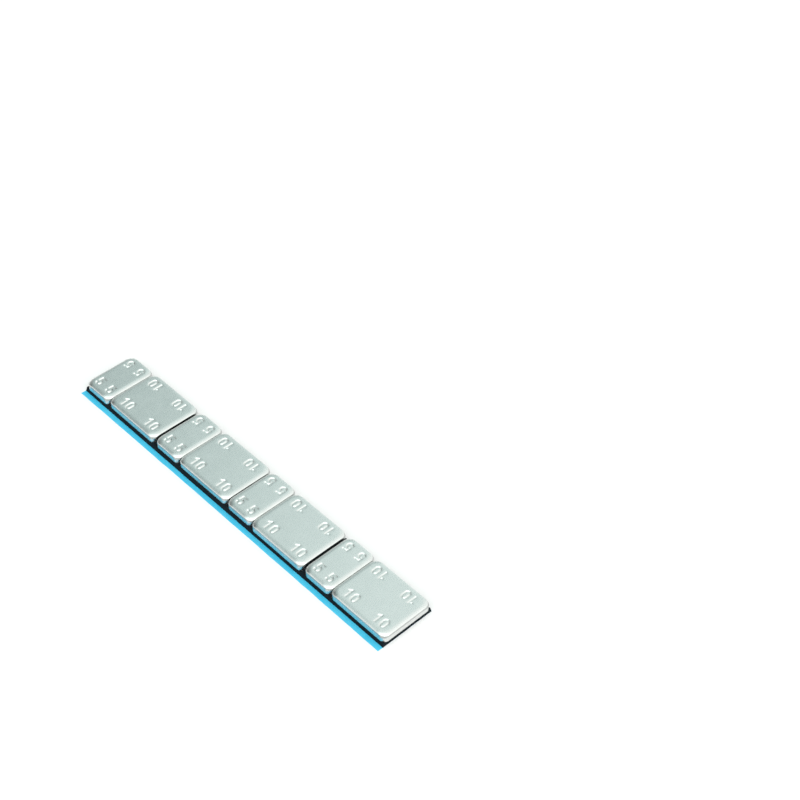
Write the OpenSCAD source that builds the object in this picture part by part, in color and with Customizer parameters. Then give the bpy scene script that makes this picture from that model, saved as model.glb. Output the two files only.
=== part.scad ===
// Stick-on wheel balance weight: a strip of zinc-plated steel plates on one foam tape,
// with a release liner that stands out along one long side as a pull flap.
//
// Frame: +X runs along the strip from its far end to its near end, the flap points to -Y,
// +Z is up, and the origin is the middle of the strip's footprint on the liner's underside.

/* [Plates] */
// Width of every plate, across the strip
plate_w = 19; // [16:0.5:24]
// Length of a five gram plate, along the strip
five_l = 11.6; // [10:0.1:14]
// Length of a ten gram plate, along the strip
ten_l = 23.4; // [18:0.1:30]
// Thickness of the steel that the plates are blanked from
plate_t = 3; // [2.7:0.1:4]
// Corner radius of a plate, seen from above
corner_r = 1.8; // [1.7:0.1:4]
// Width of the rolled-over top edge, where the die drew the steel down
roll_w = 1.5; // [0.5:0.1:1.6]
// Depth of the rolled-over top edge
roll_d = 0.65; // [0.2:0.05:0.9]
// Height of the torn foot of the side wall, where the blank broke free
tear_h = 1.7; // [0.3:0.05:1.75]
// How far the torn foot leans in under the wall
tear_in = 0.1; // [0.02:0.02:0.2]

/* [Placing on the tape] */
// Gap between the five and the ten gram plate of a pair
pair_gap = 0.1; // [0.05:0.05:0.3]
// Gaps between one pair and the next, from the far end
next_gap = [0.8, 0.3, 0.85]; // [0.2:0.05:1.5]
// Sideways placing of the five gram plates, from the far end
five_shift = [-0.15, 0.1, 0.1, -0.05]; // [-0.3:0.05:0.3]
// Sideways placing of the ten gram plates, from the far end
ten_shift = [0.05, 0.15, -0.15, -0.05]; // [-0.3:0.05:0.3]

/* [Foam tape] */
// Thickness of the double-sided foam tape
tape_t = 1.55; // [0.5:0.05:2.5]
// How far the tape stands out past the plates' line on the flap side
tape_near = 0.4; // [0.05:0.05:1]
// How far the tape stands out past the plates' line on the other side
tape_far = 0.35; // [0.05:0.05:1]
// How far each long side of the tape leans in, from its sticky face up to the plates
tape_lean = 0.35; // [0:0.05:0.6]
// How far the tape and its liner stand out past the first plate, at the far end
tape_end = 0.55; // [0.05:0.05:1.5]

/* [Release liner] */
// Thickness of the release liner
liner_t = 0.12; // [0.05:0.01:0.3]
// Width of the pull flap, the strip of liner that stands out past the tape
flap_w = 1.9; // [1:0.05:6]

/* [Hidden] */

// Straight steps in the curve of the rolled-over edge
roll_steps = 8;
$fn = 64;

pairs = len(five_shift);
pair_l = five_l + pair_gap + ten_l;
strip_l = pairs * pair_l + reach(len(next_gap));
base_l = strip_l + tape_end;
plate_z = liner_t + tape_t;

// Reach of the footprint from the plates' own centre line, on each side
near_side = plate_w / 2 + tape_near + flap_w;
far_side = plate_w / 2 + max(max(five_shift), max(ten_shift), tape_far);
line_y = (near_side - far_side) / 2;
far_x = tape_end - base_l / 2;

steel = [0.73, 0.78, 0.78];
foam = [0.11, 0.12, 0.12];
film = [0.31, 0.78, 0.94];

// Sum of the gaps before pair number n, counted from 0 at the far end
function reach(n) = n == 0 ? 0 : next_gap[n - 1] + reach(n - 1);

// Half section of a plate at its edge, from the corner radius's centre outwards:
// torn foot, upright wall, then the rolled-over top as a quarter of an ellipse
edge_section = concat(
    [[0, 0], [corner_r - tear_in, 0], [corner_r, tear_h]],
    [for (i = [0:roll_steps]) let (a = 90 * i / roll_steps)
        [corner_r - roll_w + roll_w * cos(a), plate_t - roll_d + roll_d * sin(a)]],
    [[0, plate_t]]
);

// A blanked plate, centred on its own footprint. Its edge section runs straight along
// each side and swings round each corner.
module plate(l) {
    half_l = l / 2 - corner_r;
    half_w = plate_w / 2 - corner_r;
    union() {
        translate([-half_l, -half_w, 0]) cube([2 * half_l, 2 * half_w, plate_t]);
        for (side = [0:3]) {
            out = side % 2 == 0 ? half_l : half_w;
            along = side % 2 == 0 ? half_w : half_l;
            rotate([0, 0, 90 * side]) translate([out, along, 0]) {
                rotate([90, 0, 0]) linear_extrude(2 * along) polygon(edge_section);
                rotate_extrude(angle = 90) polygon(edge_section);
            }
        }
    }
}

// Place of pair number n on the tape, its far edge at the origin
module in_pair(n) {
    translate([far_x + n * pair_l + reach(n), line_y, plate_z]) children();
}

module weight_5g(n) {
    color(steel) in_pair(n) translate([five_l / 2, five_shift[n], 0]) plate(five_l);
}

module weight_10g(n) {
    color(steel) in_pair(n)
        translate([five_l + pair_gap + ten_l / 2, ten_shift[n], 0]) plate(ten_l);
}

// The tape's section, seen along the strip, with its middle under the plates' centre line
tape_section = [
    [-plate_w / 2 - tape_near, 0], [plate_w / 2 + tape_far, 0],
    [plate_w / 2 + tape_far - tape_lean, tape_t],
    [-plate_w / 2 - tape_near + tape_lean, tape_t]
];

module foam_tape() {
    color(foam)
        translate([far_x - tape_end, line_y, liner_t])
            rotate([90, 0, 90]) linear_extrude(base_l) polygon(tape_section);
}

module release_liner() {
    color(film)
        translate([far_x - tape_end, line_y - near_side, 0])
            cube([base_l, near_side + plate_w / 2 + tape_far, liner_t]);
}

weight_5g(0);  // weight_5g_1
weight_10g(0);  // weight_10g_1
weight_5g(1);  // weight_5g_2
weight_10g(1);  // weight_10g_2
weight_5g(2);  // weight_5g_3
weight_10g(2);  // weight_10g_3
weight_5g(3);  // weight_5g_4
weight_10g(3);  // weight_10g_4
foam_tape();
release_liner();
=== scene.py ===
import math

import bmesh
import bpy
import numpy as np
from mathutils import Matrix, Vector
from mathutils.geometry import delaunay_2d_cdt


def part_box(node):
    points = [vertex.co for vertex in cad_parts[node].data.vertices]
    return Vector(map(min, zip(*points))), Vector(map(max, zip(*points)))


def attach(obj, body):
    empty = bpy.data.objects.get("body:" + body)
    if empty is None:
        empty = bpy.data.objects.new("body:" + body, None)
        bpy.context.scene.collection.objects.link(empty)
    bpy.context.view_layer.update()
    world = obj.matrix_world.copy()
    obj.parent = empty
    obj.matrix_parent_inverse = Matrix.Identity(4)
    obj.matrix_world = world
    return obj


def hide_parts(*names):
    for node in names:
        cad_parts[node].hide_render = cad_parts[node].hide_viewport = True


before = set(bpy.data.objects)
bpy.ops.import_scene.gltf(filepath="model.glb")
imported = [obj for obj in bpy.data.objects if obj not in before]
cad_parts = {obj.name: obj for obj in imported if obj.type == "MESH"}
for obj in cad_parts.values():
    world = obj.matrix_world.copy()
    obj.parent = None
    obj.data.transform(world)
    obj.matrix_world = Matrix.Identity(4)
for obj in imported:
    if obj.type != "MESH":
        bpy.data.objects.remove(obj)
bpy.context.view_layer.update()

# Camera
# The strip lies flat and is seen from above its near corner, with the flap towards the camera.
# The lens, the place and the small roll are those of the picture, fitted to the plates' edges.
picture_px = 800
lens_px = 1671.8
camera_azimuth = math.radians(44.647)
camera_elevation = math.radians(44.707)
camera_roll = math.radians(2.193)
camera_place = Vector((0.277742, -0.214768, 0.389183))

camera_back = Vector((
    math.sin(camera_azimuth) * math.cos(camera_elevation),
    -math.cos(camera_azimuth) * math.cos(camera_elevation),
    math.sin(camera_elevation),
))
level_right = Vector((0, 0, 1)).cross(camera_back).normalized()
level_up = camera_back.cross(level_right)
camera_right = math.cos(camera_roll) * level_right + math.sin(camera_roll) * level_up
camera_up = camera_back.cross(camera_right)

camera_data = bpy.data.cameras.new("camera")
camera_data.sensor_width = 36
camera_data.lens = lens_px / picture_px * camera_data.sensor_width
camera_data.clip_start = 0.01
camera_data.clip_end = 20
camera = bpy.data.objects.new("camera", camera_data)
turn = Matrix((camera_right, camera_up, camera_back)).transposed().to_4x4()
camera.matrix_world = Matrix.Translation(camera_place) @ turn
bpy.context.collection.objects.link(camera)
bpy.context.scene.camera = camera
bpy.context.scene.view_settings.view_transform = "Standard"

# Studio
# A pale floor under a soft ceiling, brighter towards the strip's near end, gives the metal its
# slow shade. Two white cards light the rolled edges, and a white backdrop stands far behind.
mm = 0.001
floor_size = 24.0
floor_tone = (0.82, 0.80, 0.795, 1)
floor_lift = 0.18  # a glow that is seen, in metal too, but lights no matt surface
light_axis = Vector((0.88, 0.38, 0.27)).normalized()
sky_shades = (  # how far along the light axis, how bright, and how red against green
    (-1.00, 0.12, 0.90),
    (-0.60, 0.12, 0.86),
    (-0.45, 0.29, 0.80),
    (-0.35, 0.39, 0.78),
    (-0.25, 0.44, 0.79),
    (-0.18, 0.62, 0.82),
    (-0.10, 0.80, 0.84),
    (0.00, 0.90, 0.86),
    (0.15, 0.91, 0.90),
    (0.35, 0.97, 0.94),
    (0.60, 1.07, 0.96),
    (1.00, 1.12, 0.98),
)
sky_blue = 0.985
cards = (  # a white card's direction, from where it starts to show, and how bright it is
    (Vector((0.483, -0.837, 0.259)).normalized(), 0.0, 1.18),
    (Vector((-0.95, 0.30, 0.10)).normalized(), 0.80, 0.40),
)
card_tone = (0.96, 1, 0.99, 1)
flag_way = Vector((0.70, -0.70, 0.15)).normalized()  # a black flag hides the cards low down
flag_start = 0.80  # the flag's soft edge
flag_full = 0.93
horizon_share = 0.75  # the light just above the floor, against that higher up
horizon_top = 0.14
backdrop_full = 0.03  # up to here the backdrop is white, and from here on it fades out
backdrop_top = 0.14
softbox_place = Vector((0.45, -0.50, 0.95))
softbox_size = 0.70
softbox_power = 0.8


def node(tree, kind, inputs=None, **settings):
    """Adds a node; inputs maps a socket's name or number to a value or to another node's socket."""
    made = tree.nodes.new(kind)
    for key, value in settings.items():
        setattr(made, key, value)
    for key, value in (inputs or {}).items():
        if isinstance(value, bpy.types.NodeSocket):
            tree.links.new(value, made.inputs[key])
        else:
            made.inputs[key].default_value = value
    return made


def shows_backdrop(tree):
    """1 for a ray by which the camera, metal or glass sees, 0 for light on a matt surface."""
    light_path = node(tree, "ShaderNodeLightPath")
    seen = light_path.outputs["Is Camera Ray"]
    for other in ("Is Glossy Ray", "Is Transmission Ray"):
        seen = node(
            tree, "ShaderNodeMath", {0: seen, 1: light_path.outputs[other]}, operation="MAXIMUM"
        ).outputs["Value"]
    return seen


world = bpy.data.worlds.new("studio")
bpy.context.scene.world = world
world.use_nodes = True
sky = world.node_tree
sky.nodes.clear()
sky_way = node(sky, "ShaderNodeTexCoord")
along_light = node(
    sky, "ShaderNodeVectorMath",
    {0: sky_way.outputs["Generated"], 1: light_axis}, operation="DOT_PRODUCT",
)
sky_place = node(
    sky, "ShaderNodeMapRange", {"Value": along_light.outputs["Value"], "From Min": -1.0}
)
sky_ramp = node(sky, "ShaderNodeValToRGB", {"Fac": sky_place.outputs["Result"]})
sky_ramp.color_ramp.interpolation = "EASE"
brightest = sky_shades[-1][1]
for number, (along, bright, red) in enumerate(sky_shades):
    stops = sky_ramp.color_ramp.elements
    stop = stops[number] if number < 2 else stops.new(1.0)
    stop.position = (along + 1) / 2
    stop.color = (*(bright / brightest * part for part in (red, 1, sky_blue)), 1)
sky_height = node(sky, "ShaderNodeSeparateXYZ", {"Vector": sky_way.outputs["Generated"]})
sky_level = node(
    sky, "ShaderNodeMapRange",
    {
        "Value": sky_height.outputs["Z"], "From Max": horizon_top,
        "To Min": horizon_share * brightest, "To Max": brightest,
    },
    interpolation_type="SMOOTHSTEP",
)
sky_light = node(
    sky, "ShaderNodeBackground",
    {"Color": sky_ramp.outputs["Color"], "Strength": sky_level.outputs["Result"]},
).outputs["Background"]
to_flag = node(
    sky, "ShaderNodeVectorMath",
    {0: sky_way.outputs["Generated"], 1: flag_way}, operation="DOT_PRODUCT",
)
flag_shade = node(
    sky, "ShaderNodeMapRange",
    {
        "Value": to_flag.outputs["Value"], "From Min": flag_start, "From Max": flag_full,
        "To Min": 1.0, "To Max": 0.0,
    },
    interpolation_type="SMOOTHSTEP",
)
card_level = node(
    sky, "ShaderNodeMath",
    {0: sky_level.outputs["Result"], 1: flag_shade.outputs["Result"]}, operation="MULTIPLY",
)
for card_way, card_start, card_light in cards:
    to_card = node(
        sky, "ShaderNodeVectorMath",
        {0: sky_way.outputs["Generated"], 1: card_way}, operation="DOT_PRODUCT",
    )
    card_share = node(
        sky, "ShaderNodeMapRange",
        {
            "Value": to_card.outputs["Value"], "From Min": card_start,
            "To Max": card_light / brightest,
        },
        interpolation_type="SMOOTHSTEP",
    )
    card_strength = node(
        sky, "ShaderNodeMath",
        {0: card_level.outputs["Value"], 1: card_share.outputs["Result"]}, operation="MULTIPLY",
    )
    card_glow = node(
        sky, "ShaderNodeBackground",
        {"Color": card_tone, "Strength": card_strength.outputs["Value"]},
    )
    sky_light = node(
        sky, "ShaderNodeAddShader", {0: sky_light, 1: card_glow.outputs["Background"]}
    ).outputs["Shader"]
backdrop_height = node(
    sky, "ShaderNodeMapRange",
    {
        "Value": sky_height.outputs["Z"], "From Min": backdrop_full, "From Max": backdrop_top,
        "To Min": 1.0, "To Max": 0.0,
    },
    interpolation_type="SMOOTHSTEP",
)
backdrop_share = node(
    sky, "ShaderNodeMath", {0: backdrop_height.outputs["Result"], 1: shows_backdrop(sky)},
    operation="MULTIPLY",
)
backdrop = node(sky, "ShaderNodeBackground", {"Color": (1, 1, 1, 1), "Strength": 1.0})
sky_seen = node(
    sky, "ShaderNodeMixShader",
    {0: backdrop_share.outputs["Value"], 1: sky_light, 2: backdrop.outputs["Background"]},
)
node(sky, "ShaderNodeOutputWorld", {"Surface": sky_seen.outputs["Shader"]})

floor_mesh = bpy.data.meshes.new("floor")
half_floor = floor_size / 2
floor_mesh.from_pydata(
    [(x * half_floor, y * half_floor, 0) for x, y in ((-1, -1), (1, -1), (1, 1), (-1, 1))],
    [], [(0, 1, 2, 3)],
)
floor = bpy.data.objects.new("floor", floor_mesh)
bpy.context.collection.objects.link(floor)
paper = bpy.data.materials.new("white paper")
paper.use_nodes = True
sheet = paper.node_tree
sheet.nodes.clear()
lift = node(
    sheet, "ShaderNodeMath", {0: shows_backdrop(sheet), 1: floor_lift}, operation="MULTIPLY"
)
paper_matt = node(sheet, "ShaderNodeBsdfDiffuse", {"Color": floor_tone})
paper_glow = node(sheet, "ShaderNodeEmission", {"Strength": lift.outputs["Value"]})
paper_both = node(
    sheet, "ShaderNodeAddShader",
    {0: paper_matt.outputs["BSDF"], 1: paper_glow.outputs["Emission"]},
)
node(sheet, "ShaderNodeOutputMaterial", {"Surface": paper_both.outputs["Shader"]})
floor_mesh.materials.append(paper)

softbox = bpy.data.lights.new("front_softbox", "AREA")
softbox.shape = "SQUARE"
softbox.size = softbox_size
softbox.energy = softbox_power
lamp = bpy.data.objects.new("front_softbox", softbox)
lamp.matrix_world = (
    Matrix.Translation(softbox_place)
    @ softbox_place.to_track_quat("Z", "Y").to_matrix().to_4x4()
)
bpy.context.collection.objects.link(lamp)

# Release liner
# A thin blue polythene film that covers the tape's sticky face. It stands out along one long
# side as a pull flap, and it is slit from a wide roll, so that its edges wander a little.
liner_low, liner_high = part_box("release_liner")
film_blue = (0.054, 0.585, 0.890, 1)
film_pale = (0.092, 0.650, 0.930, 1)
film_step = 0.5 * mm
edge_bow = 0.18 * mm  # how far the flap's edge stands back at the middle of the strip
edge_wander = 0.07 * mm
edge_wander_size = 9 * mm
flap_lift = 0.10 * mm
flap_lift_size = 16 * mm
end_back = 0.24 * mm  # the film's near end stands this far inside its box


def speckle_group():
    """Fine mottling for colour and gloss: a cloudy part and a grainy part, with a height."""
    group = bpy.data.node_groups.new("fine_speckle", "ShaderNodeTree")
    face = group.interface
    for name, default in (
        ("Cloud size", 4 * mm), ("Grain size", 0.2 * mm), ("Grain share", 0.5),
    ):
        socket = face.new_socket(name=name, in_out="INPUT", socket_type="NodeSocketFloat")
        socket.default_value = default
    for name in ("Cloud", "Mask", "Height"):
        face.new_socket(name=name, in_out="OUTPUT", socket_type="NodeSocketFloat")
    given = node(group, "NodeGroupInput")
    where = node(group, "ShaderNodeTexCoord")
    noises = {}
    for name, detail in (("Cloud", 3.0), ("Grain", 2.0)):
        fineness = node(
            group, "ShaderNodeMath", {0: 1.0, 1: given.outputs[name + " size"]},
            operation="DIVIDE",
        )
        noises[name] = node(
            group, "ShaderNodeTexNoise",
            {
                "Vector": where.outputs["Object"], "Scale": fineness.outputs["Value"],
                "Detail": detail, "Roughness": 0.55,
            },
        )
    mask = node(
        group, "ShaderNodeMix",
        {
            0: given.outputs["Grain share"],
            2: noises["Cloud"].outputs["Fac"], 3: noises["Grain"].outputs["Fac"],
        },
        data_type="FLOAT",
    )
    node(
        group, "NodeGroupOutput",
        {
            "Cloud": noises["Cloud"].outputs["Fac"], "Mask": mask.outputs[0],
            "Height": noises["Grain"].outputs["Fac"],
        },
    )
    return group


speckle = speckle_group()


def new_material(name):
    """An empty material with its shader; what each surface needs is added by its own section."""
    material = bpy.data.materials.new(name)
    material.use_nodes = True
    tree = material.node_tree
    tree.nodes.clear()
    shader = node(tree, "ShaderNodeBsdfPrincipled")
    node(tree, "ShaderNodeOutputMaterial", {"Surface": shader.outputs["BSDF"]})
    return material, tree, shader


def spread(tree, value, low, high, to_low=0.0, to_high=1.0):
    """Stretches a value's range; the result is held between the two ends."""
    return node(
        tree, "ShaderNodeMapRange",
        {"Value": value, "From Min": low, "From Max": high, "To Min": to_low, "To Max": to_high},
    ).outputs["Result"]


def blend_colours(tree, factor, first, second):
    """A colour that goes from first to second with the factor."""
    return node(
        tree, "ShaderNodeMix", {0: factor, 6: first, 7: second}, data_type="RGBA"
    ).outputs[2]


def bump(tree, shader, height, depth, strength=1.0):
    """Gives the shader a fine relief, depth metres from its lowest to its highest."""
    relief = node(
        tree, "ShaderNodeBump", {"Height": height, "Distance": depth, "Strength": strength}
    )
    tree.links.new(relief.outputs["Normal"], shader.inputs["Normal"])


film, film_tree, film_shader = new_material("blue_release_film")
film_speckle = node(
    film_tree, "ShaderNodeGroup",
    {"Cloud size": 6 * mm, "Grain size": 0.35 * mm, "Grain share": 0.35}, node_tree=speckle,
)
film_tree.links.new(
    blend_colours(
        film_tree, spread(film_tree, film_speckle.outputs["Mask"], 0.35, 0.68),
        film_blue, film_pale,
    ),
    film_shader.inputs["Base Color"],
)
film_tree.links.new(
    spread(film_tree, film_speckle.outputs["Cloud"], 0.3, 0.7, 0.28, 0.42),
    film_shader.inputs["Roughness"],
)
film_shader.inputs["IOR"].default_value = 1.5
bump(film_tree, film_shader, film_speckle.outputs["Height"], 0.006 * mm)


def tree_with_inputs(name, inputs):
    """A new geometry tree with a geometry in and out and the named inputs given."""
    tree = bpy.data.node_groups.new(name, "GeometryNodeTree")
    face = tree.interface
    face.new_socket(name="Geometry", in_out="INPUT", socket_type="NodeSocketGeometry")
    face.new_socket(name="Geometry", in_out="OUTPUT", socket_type="NodeSocketGeometry")
    for label, kind in inputs:
        face.new_socket(name=label, in_out="INPUT", socket_type="NodeSocket" + kind)
    return tree


def grown(name, mesh, tree, values):
    """Runs a geometry tree on a mesh and returns the finished plain object at the origin."""
    seed_object = bpy.data.objects.new(name + "_source", mesh)
    bpy.context.collection.objects.link(seed_object)
    modifier = seed_object.modifiers.new(tree.name, "NODES")
    modifier.node_group = tree
    for item in tree.interface.items_tree:
        if item.in_out == "INPUT" and item.name in values:
            modifier[item.identifier] = values[item.name]
    bpy.context.view_layer.update()
    depsgraph = bpy.context.evaluated_depsgraph_get()
    finished = bpy.data.meshes.new_from_object(
        seed_object.evaluated_get(depsgraph), depsgraph=depsgraph
    )
    finished.name = name
    seed_object.modifiers.clear()
    bpy.data.objects.remove(seed_object)
    made = bpy.data.objects.new(name, finished)
    bpy.context.collection.objects.link(made)
    return made


def axis_steps(start, end, step):
    """Evenly spaced places from start to end, about a step apart."""
    return np.linspace(start, end, max(2, int(round((end - start) / step)) + 1))


def box_grid(xs, ys, zs):
    """A closed box whose six faces are grids of quads through the given places."""
    numbers = {}
    corners = []
    faces = []

    def corner(i, j, k):
        key = (i, j, k)
        if key not in numbers:
            numbers[key] = len(corners)
            corners.append((xs[i], ys[j], zs[k]))
        return numbers[key]

    last = (len(xs) - 1, len(ys) - 1, len(zs) - 1)
    for fixed in range(3):
        u, v = (fixed + 1) % 3, (fixed + 2) % 3
        for side in (0, last[fixed]):
            for a in range(last[u]):
                for b in range(last[v]):
                    around = []
                    for da, db in ((0, 0), (1, 0), (1, 1), (0, 1)):
                        at = [0, 0, 0]
                        at[fixed], at[u], at[v] = side, a + da, b + db
                        around.append(corner(*at))
                    faces.append(around if side else around[::-1])
    mesh = bpy.data.meshes.new("grid")
    mesh.from_pydata(corners, [], faces)
    mesh.update()
    return mesh


film_sheet = box_grid(
    axis_steps(liner_low.x, liner_high.x - end_back, film_step),
    axis_steps(liner_low.y, liner_high.y, film_step),
    (liner_low.z, liner_high.z),
)

film_rule = tree_with_inputs(
    "slit_film",
    (
        ("Flap edge", "Float"), ("Tape edge", "Float"), ("Half length", "Float"),
        ("Bow", "Float"), ("Wander", "Float"), ("Lift", "Float"), ("Seed", "Float"),
        ("Film", "Material"),
    ),
)
given = node(film_rule, "NodeGroupInput")
at = node(film_rule, "GeometryNodeInputPosition").outputs["Position"]
at_xyz = node(film_rule, "ShaderNodeSeparateXYZ", {"Vector": at})


def maths(tree, operation, first, second=0.0, third=0.0):
    """One step of arithmetic."""
    return node(
        tree, "ShaderNodeMath", {0: first, 1: second, 2: third}, operation=operation
    ).outputs["Value"]


def along_noise(tree, coordinate, seed, size):
    """A smooth random value from -1 to 1 that changes along one coordinate only."""
    wave = node(
        tree, "ShaderNodeTexNoise",
        {
            "W": maths(tree, "ADD", maths(tree, "DIVIDE", coordinate, size), seed),
            "Scale": 1.0, "Detail": 2.0, "Roughness": 0.5,
        },
        noise_dimensions="1D",
    ).outputs["Fac"]
    return spread(tree, wave, 0.25, 0.75, -1.0, 1.0)


flap_share = spread(film_rule, at_xyz.outputs["Y"], given.outputs["Tape edge"],
                    given.outputs["Flap edge"])
bow_place = maths(film_rule, "DIVIDE", at_xyz.outputs["X"], given.outputs["Half length"])
bow_shape = maths(
    film_rule, "SUBTRACT", 1.0, maths(film_rule, "MULTIPLY", bow_place, bow_place)
)
bowed = maths(film_rule, "MULTIPLY", bow_shape, given.outputs["Bow"])
wandering = maths(
    film_rule, "MULTIPLY",
    maths(
        film_rule, "ADD",
        along_noise(film_rule, at_xyz.outputs["X"], given.outputs["Seed"], edge_wander_size),
        1.0,
    ),
    given.outputs["Wander"],
)
inward = maths(film_rule, "MULTIPLY", maths(film_rule, "ADD", bowed, wandering), flap_share)
lifted = maths(
    film_rule, "MULTIPLY",
    maths(film_rule, "MULTIPLY", maths(film_rule, "MULTIPLY", flap_share, flap_share),
          given.outputs["Lift"]),
    spread(
        film_rule,
        along_noise(
            film_rule, at_xyz.outputs["X"],
            maths(film_rule, "ADD", given.outputs["Seed"], 40.0), flap_lift_size,
        ),
        -0.6, 1.0,
    ),
)
film_moved = node(
    film_rule, "GeometryNodeSetPosition",
    {
        "Geometry": given.outputs["Geometry"],
        "Offset": node(
            film_rule, "ShaderNodeCombineXYZ", {"Y": inward, "Z": lifted}
        ).outputs["Vector"],
    },
)
film_real = node(
    film_rule, "GeometryNodeRealizeInstances", {"Geometry": film_moved.outputs["Geometry"]}
)
film_done = node(
    film_rule, "GeometryNodeSetMaterial",
    {"Geometry": film_real.outputs["Geometry"], "Material": given.outputs["Film"]},
)
node(film_rule, "NodeGroupOutput", {"Geometry": film_done.outputs["Geometry"]})

tape_low, tape_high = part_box("foam_tape")
liner = grown(
    "release_liner_film", film_sheet, film_rule,
    {
        "Flap edge": liner_low.y, "Tape edge": tape_low.y, "Half length": liner_high.x,
        "Bow": edge_bow, "Wander": edge_wander, "Lift": flap_lift, "Seed": 3.0, "Film": film,
    },
)
liner.data.set_sharp_from_angle(angle=math.radians(40))
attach(liner, "root")
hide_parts("release_liner")

# Foam tape
# A soft black foam with glue on both faces, cut with a blade. Its long sides wander and its
# cut sides show the small torn cells of the foam.
# The foam's own near black, with a teal tint that is a painted reflection of the blue film.
foam_black_blue_reflection = (0.003, 0.006, 0.009, 1)
foam_grey_blue_reflection = (0.012, 0.022, 0.028, 1)
foam_step = 0.22 * mm
foam_step_across = 1.2 * mm
foam_rows = 8
foam_wander = 0.10 * mm
foam_wander_size = 45 * mm
foam_lean = 0.57 * mm  # how far in its sides lean from foot to top
foam_end_share = 0.6  # how far the ends lean in, against the long sides
foam_back = 0.12 * mm  # the tape's near end stands this far inside its box
cell_size = 0.30 * mm
cell_depth = 0.06 * mm

foam, foam_tree, foam_shader = new_material("black_foam")
foam_speckle = node(
    foam_tree, "ShaderNodeGroup",
    {"Cloud size": 3 * mm, "Grain size": 0.16 * mm, "Grain share": 0.75}, node_tree=speckle,
)
foam_tree.links.new(
    blend_colours(
        foam_tree, spread(foam_tree, foam_speckle.outputs["Mask"], 0.38, 0.66),
        foam_black_blue_reflection, foam_grey_blue_reflection,
    ),
    foam_shader.inputs["Base Color"],
)
foam_tree.links.new(
    spread(foam_tree, foam_speckle.outputs["Cloud"], 0.3, 0.7, 0.75, 0.95),
    foam_shader.inputs["Roughness"],
)
foam_shader.inputs["Specular IOR Level"].default_value = 0.12
bump(foam_tree, foam_shader, foam_speckle.outputs["Height"], 0.05 * mm)

foam_block = box_grid(
    axis_steps(tape_low.x, tape_high.x - foam_back, foam_step),
    axis_steps(tape_low.y, tape_high.y - foam_wander, foam_step_across),
    np.linspace(tape_low.z, tape_high.z, foam_rows + 1),
)

foam_rule = tree_with_inputs(
    "cut_foam",
    (
        ("Middle", "Vector"), ("Lean", "Float"), ("End share", "Float"),
        ("Half thickness", "Float"),
        ("Wander", "Float"), ("Wander size", "Float"),
        ("Cell size", "Float"), ("Cell depth", "Float"), ("Seed", "Float"),
        ("Foam", "Material"),
    ),
)
given = node(foam_rule, "NodeGroupInput")
at = node(foam_rule, "GeometryNodeInputPosition").outputs["Position"]
at_xyz = node(foam_rule, "ShaderNodeSeparateXYZ", {"Vector": at})
outward = node(
    foam_rule, "ShaderNodeVectorMath",
    {0: node(foam_rule, "GeometryNodeInputNormal").outputs["Normal"], 1: (1.0, 1.0, 0.0)},
    operation="MULTIPLY",
).outputs["Vector"]
from_middle = node(
    foam_rule, "ShaderNodeSeparateXYZ",
    {
        "Vector": node(
            foam_rule, "ShaderNodeVectorMath", {0: at, 1: given.outputs["Middle"]},
            operation="SUBTRACT",
        ).outputs["Vector"]
    },
)
side_sign = maths(foam_rule, "SIGN", from_middle.outputs["Y"])
cells = node(
    foam_rule, "ShaderNodeTexVoronoi",
    {
        "Vector": at,
        "Scale": maths(foam_rule, "DIVIDE", 1.0, given.outputs["Cell size"]),
    },
    feature="F1",
)
cell_dip = maths(
    foam_rule, "MULTIPLY",
    spread(foam_rule, cells.outputs["Distance"], 0.15, 0.6, -1.0, 0.0),
    given.outputs["Cell depth"],
)
side_wander = maths(
    foam_rule, "MULTIPLY",
    along_noise(
        foam_rule, at_xyz.outputs["X"],
        maths(foam_rule, "ADD", given.outputs["Seed"], side_sign),
        given.outputs["Wander size"],
    ),
    given.outputs["Wander"],
)
on_long_side = maths(
    foam_rule, "ABSOLUTE",
    node(foam_rule, "ShaderNodeSeparateXYZ", {"Vector": outward}).outputs["Y"],
)
slanted = maths(
    foam_rule, "MULTIPLY",
    spread(
        foam_rule, from_middle.outputs["Z"],
        maths(foam_rule, "MULTIPLY", given.outputs["Half thickness"], -1.0),
        given.outputs["Half thickness"], 0.0, -1.0,
    ),
    maths(
        foam_rule, "MULTIPLY", given.outputs["Lean"],
        spread(foam_rule, on_long_side, 0.0, 1.0, given.outputs["End share"], 1.0),
    ),
)
push = maths(
    foam_rule, "ADD", maths(foam_rule, "ADD", cell_dip, slanted),
    maths(foam_rule, "MULTIPLY", side_wander, on_long_side),
)
foam_moved = node(
    foam_rule, "GeometryNodeSetPosition",
    {
        "Geometry": given.outputs["Geometry"],
        "Offset": node(
            foam_rule, "ShaderNodeVectorMath", {0: outward, "Scale": push}, operation="SCALE"
        ).outputs["Vector"],
    },
)
foam_real = node(
    foam_rule, "GeometryNodeRealizeInstances", {"Geometry": foam_moved.outputs["Geometry"]}
)
foam_done = node(
    foam_rule, "GeometryNodeSetMaterial",
    {"Geometry": foam_real.outputs["Geometry"], "Material": given.outputs["Foam"]},
)
node(foam_rule, "NodeGroupOutput", {"Geometry": foam_done.outputs["Geometry"]})

tape = grown(
    "foam_tape_cut", foam_block, foam_rule,
    {
        "Middle": (tape_low + tape_high) / 2, "Lean": foam_lean, "End share": foam_end_share,
        "Half thickness": (tape_high.z - tape_low.z) / 2, "Wander": foam_wander,
        "Wander size": foam_wander_size, "Cell size": cell_size, "Cell depth": cell_depth,
        "Seed": 11.0, "Foam": foam,
    },
)
tape.data.set_sharp_from_angle(angle=math.radians(60))
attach(tape, "root")
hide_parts("foam_tape")

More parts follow.
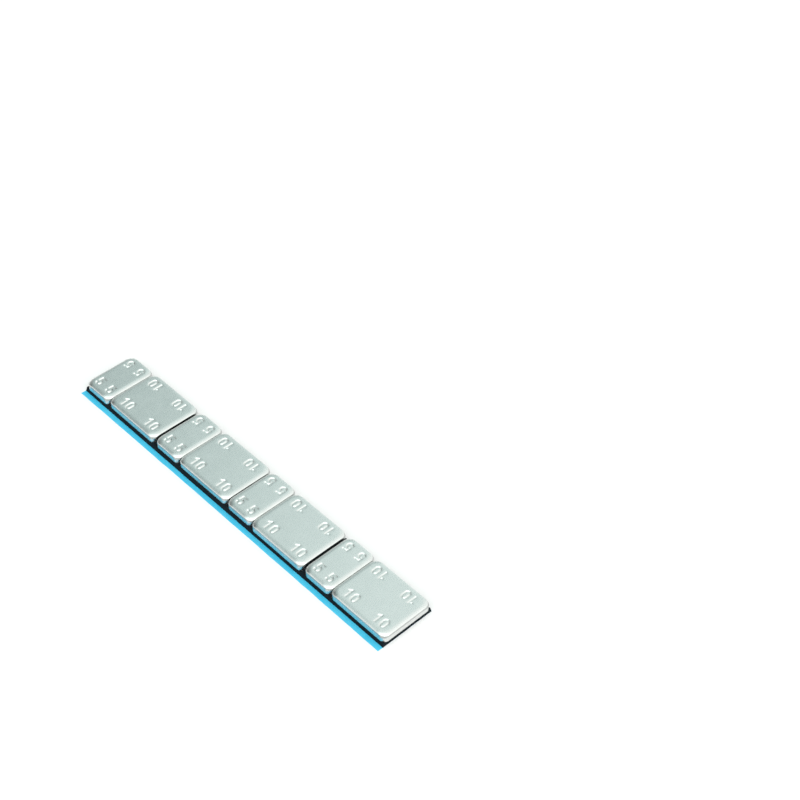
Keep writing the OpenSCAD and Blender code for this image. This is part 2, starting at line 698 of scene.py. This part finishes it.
# Steel weights
# Eight plates punched from steel strip, marked 5 and 10 by the punch, zinc plated in a barrel
# and pressed on to the tape by pairs. The punch rolls the top edge over and tears the foot.
plate_low, plate_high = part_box("weight_10g_1")
plate_width = plate_high.y - plate_low.y
plate_thick = plate_high.z - plate_low.z
corner_radius = 1.8 * mm
roll_width = 1.5 * mm
roll_depth = 0.65 * mm
corner_roll_width = 2.1 * mm  # at the corners the die draws the steel further down
corner_roll_depth = 1.3 * mm
roll_steps = 12
corner_roll_steps = 4
corner_steps = 14
side_step = 0.4 * mm
torn_height = 1.95 * mm
torn_lean = 0.01 * mm
torn_rows = 7
foot_insets = (0.35 * mm, 0.9 * mm)
top_step = 0.9 * mm
edge_clearance = 0.3 * mm  # the top's own points keep this far from its rounded corners
stroke_clearance = 0.22 * mm  # and this far from the strokes
stroke_sample = 0.2  # in millimetres, as the strokes are

figure_height = 3.0 * mm
figure_row = 4.42 * mm  # from the plate's middle line to the nearer edge of the figures
stroke_profile = (  # how far from the middle of the stroke, and how deep, in millimetres
    (0.42, 0.000),
    (0.38, 0.008),
    (0.33, 0.050),
    (0.27, 0.145),
    (0.20, 0.245),
    (0.12, 0.300),
    (0.05, 0.315),
)
cap_steps = 8
sharp_turn = 30  # degrees, from which a stroke's corner is rounded
sharp_turn_step = 12
five_places = (-2.62 * mm, 2.62 * mm)
ten_places = (-5.9 * mm, 6.6 * mm)


def arc(middle, radius, start, end, steps):
    """Points on a circle between two angles in degrees."""
    return [
        (middle[0] + radius * math.cos(a), middle[1] + radius * math.sin(a))
        for a in np.radians(np.linspace(start, end, steps + 1))
    ]


def straight(first, last, steps):
    """Points on a line, without the last one."""
    return [
        (first[0] + (last[0] - first[0]) * s / steps, first[1] + (last[1] - first[1]) * s / steps)
        for s in range(steps)
    ]


# The strokes of the figures, in millimetres, each with its foot on y = 0 and about x = 0.
# The second value says whether the stroke closes on itself.
five_stroke = (
    [(0.80, 3.0), (-0.66, 3.0), (-0.76, 1.66)] + arc((-0.06, 0.92), 0.92, 90, -148, 26), False
)
one_stroke = ([(-0.62, 2.42), (0.18, 3.0), (0.18, 0.0)], False)
nought_stroke = (arc((0, 2.2), 0.8, 0, 180, 16) + arc((0, 0.8), 0.8, 180, 360, 16), True)
figures = {
    "5": [(0.0, five_stroke)],
    "10": [(-1.42, one_stroke), (1.32, nought_stroke)],
}


def stations(points, closed):
    """For each point of a stroke, its left and right offset directions, mitred at corners.
    A sharp corner gets several stations, so that its outer side is rounded."""
    count = len(points)
    out = []
    for i in range(count):
        here = np.array(points[i])
        before = np.array(points[i - 1]) if (i > 0 or closed) else None
        after = np.array(points[(i + 1) % count]) if (i < count - 1 or closed) else None
        into = None if before is None else (here - before) / np.linalg.norm(here - before)
        away = None if after is None else (after - here) / np.linalg.norm(after - here)
        into = away if into is None else into
        away = into if away is None else away
        left_in, left_out = np.array((-into[1], into[0])), np.array((-away[1], away[0]))
        turn = math.atan2(into[0] * away[1] - into[1] * away[0], float(into @ away))
        middle = (left_in + left_out) / np.linalg.norm(left_in + left_out)
        mitre = middle / math.cos(turn / 2)
        if abs(turn) < math.radians(sharp_turn):
            out.append((here, mitre, -mitre))
            continue
        steps = max(2, int(abs(math.degrees(turn)) // sharp_turn_step))
        start = math.atan2(left_in[1], left_in[0])
        for s in range(steps + 1):
            a = start + turn * s / steps
            spoke = np.array((math.cos(a), math.sin(a)))
            out.append((here, mitre, -spoke) if turn > 0 else (here, spoke, -mitre))
    return out


def stroke_rings(points, closed):
    """Rings of points that run round a stroke, from its outer lip to its bottom."""
    rows = stations(points, closed)
    rings = []
    if closed:
        for side, sections in ((2, stroke_profile), (1, stroke_profile[::-1])):
            rings += [
                ([row[0] + row[side] * distance for row in rows], depth)
                for distance, depth in sections
            ]
        return rings
    for distance, depth in stroke_profile:
        ring = [p + left * distance for p, left, _ in rows]
        ring += end_cap(rows[-1], distance)
        ring += [p + right * distance for p, _, right in rows[::-1]]
        ring += end_cap((rows[0][0], rows[0][2], rows[0][1]), distance)
        rings.append((ring, depth))
    return rings


def end_cap(station, distance):
    """The half circle round the end of a stroke, from its first side to its other."""
    middle, first, _ = station
    start = math.atan2(first[1], first[0])
    return [
        middle + distance * np.array((math.cos(start - a), math.sin(start - a)))
        for a in np.linspace(0, math.pi, cap_steps + 1)[1:-1]
    ]


def rim_loop(length, inset, radius):
    """A rounded rectangle round the plate, moved in by inset, with the same count each time."""
    half_x, half_y = length / 2 - inset - radius, plate_width / 2 - inset - radius
    side_x = int(round(length / side_step))
    side_y = int(round(plate_width / side_step))
    loop = []
    for cx, cy, start, side, run in (
        (half_x, -half_y, -90, side_y, (0, 2 * half_y)),
        (half_x, half_y, 0, side_x, (-2 * half_x, 0)),
        (-half_x, half_y, 90, side_y, (0, -2 * half_y)),
        (-half_x, -half_y, 180, side_x, (2 * half_x, 0)),
    ):
        corner = arc((cx, cy), radius, start, start + 90, corner_steps)
        loop += corner
        end = corner[-1]
        loop += straight(end, (end[0] + run[0], end[1] + run[1]), side)[1:]
    return loop


def roll_level(depth):
    """How far the rolled edge has come in from the wall at a depth, and its corner radius there."""
    side = math.sqrt(1 - (1 - min(depth / roll_depth, 1)) ** 2)
    corner = math.sqrt(1 - (1 - min(depth / corner_roll_depth, 1)) ** 2)
    inset = roll_width * (1 - side)
    from_corner = corner_radius * (math.sqrt(2) - 1) + corner_roll_width * (1 - corner)
    return inset, (from_corner - inset * math.sqrt(2)) / (math.sqrt(2) - 1)


def stamped_plate(name, length, marks):
    """A punched plate about the origin, with its foot at z = 0 and its figures sunk in."""
    points, faces = [], []

    def add(loop, height):
        first = len(points)
        points.extend((x, y, height) for x, y in loop)
        return list(range(first, len(points)))

    def wall(upper, lower):
        count = len(upper)
        for i in range(count):
            j = (i + 1) % count
            faces.append((upper[i], lower[i], lower[j], upper[j]))

    rim = None
    previous = None
    depths = [
        roll_depth * (1 - math.cos(math.pi / 2 * s / roll_steps)) for s in range(roll_steps + 1)
    ]
    depths += list(np.linspace(roll_depth, corner_roll_depth, corner_roll_steps + 1)[1:])
    depths += list(np.linspace(corner_roll_depth, plate_thick, torn_rows + 1)[1:])
    for depth in depths:
        inset, radius = roll_level(depth)
        lean = torn_lean * max(1 - (plate_thick - depth) / torn_height, 0)
        loop = add(rim_loop(length, inset + lean, radius - lean), plate_thick - depth)
        if previous:
            wall(previous, loop)
        else:
            rim = loop
        previous = loop
    for foot_inset in foot_insets:
        inset = torn_lean + foot_inset
        loop = add(rim_loop(length, inset, corner_radius - inset), 0)
        wall(previous, loop)
        previous = loop
    faces.append(tuple(previous[::-1]))

    outlines = [(rim, "plate")]
    near_stroke = []
    for centre_x, centre_y, flip, strokes in marks:
        turned = -1.0 if flip else 1.0

        def placed(loop):
            return [(centre_x + turned * x * mm, centre_y + turned * (y * mm - figure_height / 2))
                    for x, y in loop]

        for shift, (stroke, closed) in strokes:
            moved = [(x + shift, y) for x, y in stroke]
            for (x0, y0), (x1, y1) in zip(moved, moved[1:]):
                parts = int(math.hypot(x1 - x0, y1 - y0) / stroke_sample) + 1
                near_stroke += placed(straight((x0, y0), (x1, y1), parts) + [(x1, y1)])
            rings = [
                add(placed(ring), plate_thick - depth * mm)
                for ring, depth in stroke_rings(moved, closed)
            ]
            for outer, inner in zip(rings, rings[1:]):
                wall(outer, inner)
            outlines.append((rings[0], "hole"))
            if closed:
                outlines.append((rings[-1], "island"))
                continue
            inner = rings[-1]
            rows = len(stations(moved, closed))
            far = inner[rows + cap_steps - 1:2 * rows + cap_steps - 1][::-1]
            for i in range(rows - 1):
                faces.append((inner[i], far[i], far[i + 1], inner[i + 1]))
            faces.append(tuple(inner[rows - 1:rows + cap_steps])[::-1])
            faces.append(tuple(inner[2 * rows + cap_steps - 2:] + inner[:1])[::-1])
    flat, index, loops = [], [], []
    for loop, _ in outlines:
        spots = np.array([points[i][:2] for i in loop])
        ahead = np.roll(spots, -1, axis=0)
        numbers = list(range(len(flat), len(flat) + len(loop)))
        clockwise = np.sum(spots[:, 0] * ahead[:, 1] - ahead[:, 0] * spots[:, 1]) < 0
        loops.append(numbers[::-1] if clockwise else numbers)
        flat += [Vector(spot / mm) for spot in spots]
        index += loop
    near_stroke = np.array(near_stroke)
    keep_off = stroke_profile[0][0] * mm + stroke_clearance
    edge_x, edge_y = length / 2 - roll_width, plate_width / 2 - roll_width
    top_radius = roll_level(0)[1]
    inner_radius = top_radius - edge_clearance
    for x in axis_steps(-edge_x, edge_x, top_step)[1:-1]:
        for y in axis_steps(-edge_y, edge_y, top_step)[1:-1]:
            past_x, past_y = abs(x) - edge_x + top_radius, abs(y) - edge_y + top_radius
            if min(past_x, past_y) > 0 and math.hypot(past_x, past_y) > inner_radius:
                continue
            if len(near_stroke) and np.hypot(*(near_stroke - (x, y)).T).min() < keep_off:
                continue
            index.append(len(points))
            points.append((x, y, plate_thick))
            flat.append(Vector((x, y)) / mm)
    _, _, triangles, from_points, _, from_loops = delaunay_2d_cdt(
        flat, [], loops, 1, 1e-6, True
    )
    names = [kind for _, kind in outlines]
    for triangle, inside in zip(triangles, from_loops):
        kinds = {names[i] for i in inside}
        if "island" in kinds or ("plate" in kinds and "hole" not in kinds):
            faces.append(tuple(index[from_points[i][0]] for i in triangle))

    mesh = bpy.data.meshes.new(name)
    mesh.from_pydata(points, [], faces)
    tidy = bmesh.new()
    tidy.from_mesh(mesh)
    bmesh.ops.remove_doubles(tidy, verts=tidy.verts, dist=1e-7)
    bmesh.ops.dissolve_degenerate(tidy, edges=tidy.edges, dist=1e-8)
    bmesh.ops.recalc_face_normals(tidy, faces=tidy.faces)
    if tidy.calc_volume(signed=True) < 0:
        bmesh.ops.reverse_faces(tidy, faces=tidy.faces)
    tidy.to_mesh(mesh)
    tidy.free()
    mesh.polygons.foreach_set("use_smooth", [True] * len(mesh.polygons))
    return mesh


zinc_colour = (0.875, 0.892, 0.870, 1)
zinc_shade = (0.790, 0.808, 0.788, 1)
torn_colour = (0.760, 0.770, 0.758, 1)
# The punch's burnished band under the rolled edge is real and a little glossier; its dark colour is
# painted shade of the crease where the roll meets the wall.
burnished_band_painted_shade = (0.470, 0.480, 0.470, 1)

zinc, zinc_tree, zinc_shader = new_material("zinc_plate")
zinc_speckle = node(
    zinc_tree, "ShaderNodeGroup",
    {"Cloud size": 3.2 * mm, "Grain size": 0.25 * mm, "Grain share": 0.68}, node_tree=speckle,
)
torn_mask = node(zinc_tree, "ShaderNodeAttribute", attribute_name="torn").outputs["Fac"]
plating = blend_colours(
    zinc_tree, spread(zinc_tree, zinc_speckle.outputs["Mask"], 0.36, 0.64),
    zinc_shade, zinc_colour,
)
# marks the burnished band, which gets painted shade and a little less roughness
burnished_and_shade_mask = node(
    zinc_tree, "ShaderNodeAttribute", attribute_name="burnished_and_shade"
).outputs["Fac"]
zinc_tree.links.new(
    blend_colours(
        zinc_tree, burnished_and_shade_mask,
        blend_colours(zinc_tree, torn_mask, plating, torn_colour), burnished_band_painted_shade,
    ),
    zinc_shader.inputs["Base Color"],
)
zinc_tree.links.new(
    maths(
        zinc_tree, "ADD",
        spread(zinc_tree, zinc_speckle.outputs["Mask"], 0.35, 0.65, 0.24, 0.34),
        maths(
            zinc_tree, "MULTIPLY", maths(zinc_tree, "MAXIMUM", torn_mask, burnished_and_shade_mask), -0.02
        ),
    ),
    zinc_shader.inputs["Roughness"],
)
zinc_shader.inputs["Metallic"].default_value = 1.0
bump(zinc_tree, zinc_shader, zinc_speckle.outputs["Height"], 0.010 * mm)

plate_rule = tree_with_inputs(
    "plate_on_the_tape",
    (
        ("Place", "Vector"), ("Thickness", "Float"), ("Torn height", "Float"),
        ("Torn ripple", "Float"), ("Torn grain", "Float"), ("Top dish", "Float"),
        ("Dish size", "Float"), ("Dome curve", "Float"), ("Burnished shade top", "Float"),
        ("Seed", "Float"), ("Finish", "Material"),
    ),
)
given = node(plate_rule, "NodeGroupInput")
at = node(plate_rule, "GeometryNodeInputPosition").outputs["Position"]
at_xyz = node(plate_rule, "ShaderNodeSeparateXYZ", {"Vector": at})


def seeded_noise(tree, seed, size, detail):
    """A smooth random value from -1 to 1 over the piece, different for each seed."""
    shifted = node(
        tree, "ShaderNodeVectorMath",
        {0: at, 1: node(tree, "ShaderNodeCombineXYZ", {"X": seed, "Y": seed}).outputs["Vector"]},
        operation="ADD",
    ).outputs["Vector"]
    noise = node(
        tree, "ShaderNodeTexNoise",
        {
            "Vector": shifted, "Scale": maths(tree, "DIVIDE", 1.0, size),
            "Detail": detail, "Roughness": 0.6,
        },
    ).outputs["Fac"]
    return spread(tree, noise, 0.25, 0.75, -1.0, 1.0)


grain = seeded_noise(plate_rule, given.outputs["Seed"], given.outputs["Torn grain"], 3.0)
torn_line = maths(
    plate_rule, "MULTIPLY", given.outputs["Torn height"],
    maths(
        plate_rule, "MULTIPLY_ADD",
        seeded_noise(plate_rule, given.outputs["Seed"], given.outputs["Dish size"], 2.0),
        0.2, 0.9,
    ),
)
torn_share = node(
    plate_rule, "ShaderNodeMapRange",
    {
        "Value": at_xyz.outputs["Z"],
        "From Min": maths(plate_rule, "MULTIPLY", torn_line, 0.8), "From Max": torn_line,
        "To Min": 1.0, "To Max": 0.0,
    },
    interpolation_type="SMOOTHSTEP",
).outputs["Result"]
sideways = node(
    plate_rule, "ShaderNodeVectorMath",
    {0: node(plate_rule, "GeometryNodeInputNormal").outputs["Normal"], 1: (1.0, 1.0, 0.0)},
    operation="MULTIPLY",
).outputs["Vector"]
torn_push = maths(
    plate_rule, "MULTIPLY",
    maths(
        plate_rule, "MULTIPLY", maths(plate_rule, "MULTIPLY_ADD", grain, 0.5, -0.5), torn_share
    ),
    given.outputs["Torn ripple"],
)
near_top = spread(
    plate_rule, at_xyz.outputs["Z"],
    maths(plate_rule, "MULTIPLY", given.outputs["Thickness"], 0.7), given.outputs["Thickness"],
)
dish = maths(
    plate_rule, "MULTIPLY",
    maths(
        plate_rule, "MULTIPLY",
        maths(
            plate_rule, "MULTIPLY_ADD",
            seeded_noise(plate_rule, maths(plate_rule, "ADD", given.outputs["Seed"], 0.5),
                         given.outputs["Dish size"], 1.0),
            0.5, -0.5,
        ),
        near_top,
    ),
    given.outputs["Top dish"],
)
across = node(
    plate_rule, "ShaderNodeVectorMath",
    {
        0: node(
            plate_rule, "ShaderNodeVectorMath", {0: at, 1: (1.0, 1.0, 0.0)}, operation="MULTIPLY"
        ).outputs["Vector"]
    },
    operation="LENGTH",
).outputs["Value"]
domed = maths(
    plate_rule, "MULTIPLY",
    maths(
        plate_rule, "MULTIPLY", maths(plate_rule, "MULTIPLY", across, across),
        maths(plate_rule, "MULTIPLY", given.outputs["Dome curve"], -0.5),
    ),
    near_top,
)
# the band under the roll, painted dark as the shade of the crease there, and a little glossier
burnished_and_shade_share = maths(
    plate_rule, "MULTIPLY",
    maths(plate_rule, "SUBTRACT", 1.0, torn_share),
    spread(
        plate_rule, at_xyz.outputs["Z"],
        maths(plate_rule, "MULTIPLY", given.outputs["Burnished shade top"], 1.05),
        maths(plate_rule, "MULTIPLY", given.outputs["Burnished shade top"], 0.95),
    ),
)
plate_move = node(
    plate_rule, "ShaderNodeVectorMath",
    {
        0: node(
            plate_rule, "ShaderNodeVectorMath", {0: sideways, "Scale": torn_push},
            operation="SCALE",
        ).outputs["Vector"],
        1: node(
            plate_rule, "ShaderNodeCombineXYZ", {"Z": maths(plate_rule, "ADD", dish, domed)}
        ).outputs["Vector"],
    },
    operation="ADD",
).outputs["Vector"]
plate_marked = node(
    plate_rule, "GeometryNodeStoreNamedAttribute",
    {"Geometry": given.outputs["Geometry"], "Name": "torn", "Value": torn_share},
    data_type="FLOAT", domain="POINT",
)
plate_banded = node(
    plate_rule, "GeometryNodeStoreNamedAttribute",
    {
        "Geometry": plate_marked.outputs["Geometry"], "Name": "burnished_and_shade",
        "Value": burnished_and_shade_share,
    },
    data_type="FLOAT", domain="POINT",
)
plate_rough = node(
    plate_rule, "GeometryNodeSetPosition",
    {"Geometry": plate_banded.outputs["Geometry"], "Offset": plate_move},
)
plate_seat = node(
    plate_rule, "GeometryNodeInstanceOnPoints",
    {
        "Points": node(
            plate_rule, "GeometryNodeMeshLine",
            {"Count": 1, "Start Location": given.outputs["Place"]},
        ).outputs["Mesh"],
        "Instance": plate_rough.outputs["Geometry"],
    },
)
plate_real = node(
    plate_rule, "GeometryNodeRealizeInstances", {"Geometry": plate_seat.outputs["Instances"]}
)
plate_done = node(
    plate_rule, "GeometryNodeSetMaterial",
    {"Geometry": plate_real.outputs["Geometry"], "Material": given.outputs["Finish"]},
)
node(plate_rule, "NodeGroupOutput", {"Geometry": plate_done.outputs["Geometry"]})

for grams, places in (("5", five_places), ("10", ten_places)):
    first_low, first_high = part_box(f"weight_{grams}g_1")
    marks = [
        (sign * place, -sign * (figure_row + figure_height / 2), sign < 0, figures[grams])
        for sign in (1, -1) for place in places
    ]
    blank = stamped_plate(f"blank_{grams}g", first_high.x - first_low.x, marks)
    for number in (1, 2, 3, 4):
        node_name = f"weight_{grams}g_{number}"
        low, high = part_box(node_name)
        weight = grown(
            f"steel_{node_name}", blank, plate_rule,
            {
                "Place": ((low.x + high.x) / 2, (low.y + high.y) / 2, low.z),
                "Thickness": plate_thick, "Torn height": torn_height,
                "Torn ripple": 0.03 * mm, "Torn grain": 0.45 * mm,
                "Top dish": 0.012 * mm, "Dish size": 7 * mm, "Dome curve": 0.7,
                "Burnished shade top": plate_thick - 0.95 * roll_depth,
                "Seed": number + (0.5 if grams == "5" else 0.0), "Finish": zinc,
            },
        )
        weight.data.set_sharp_from_angle(angle=math.radians(55))
        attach(weight, "root")
        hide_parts(node_name)
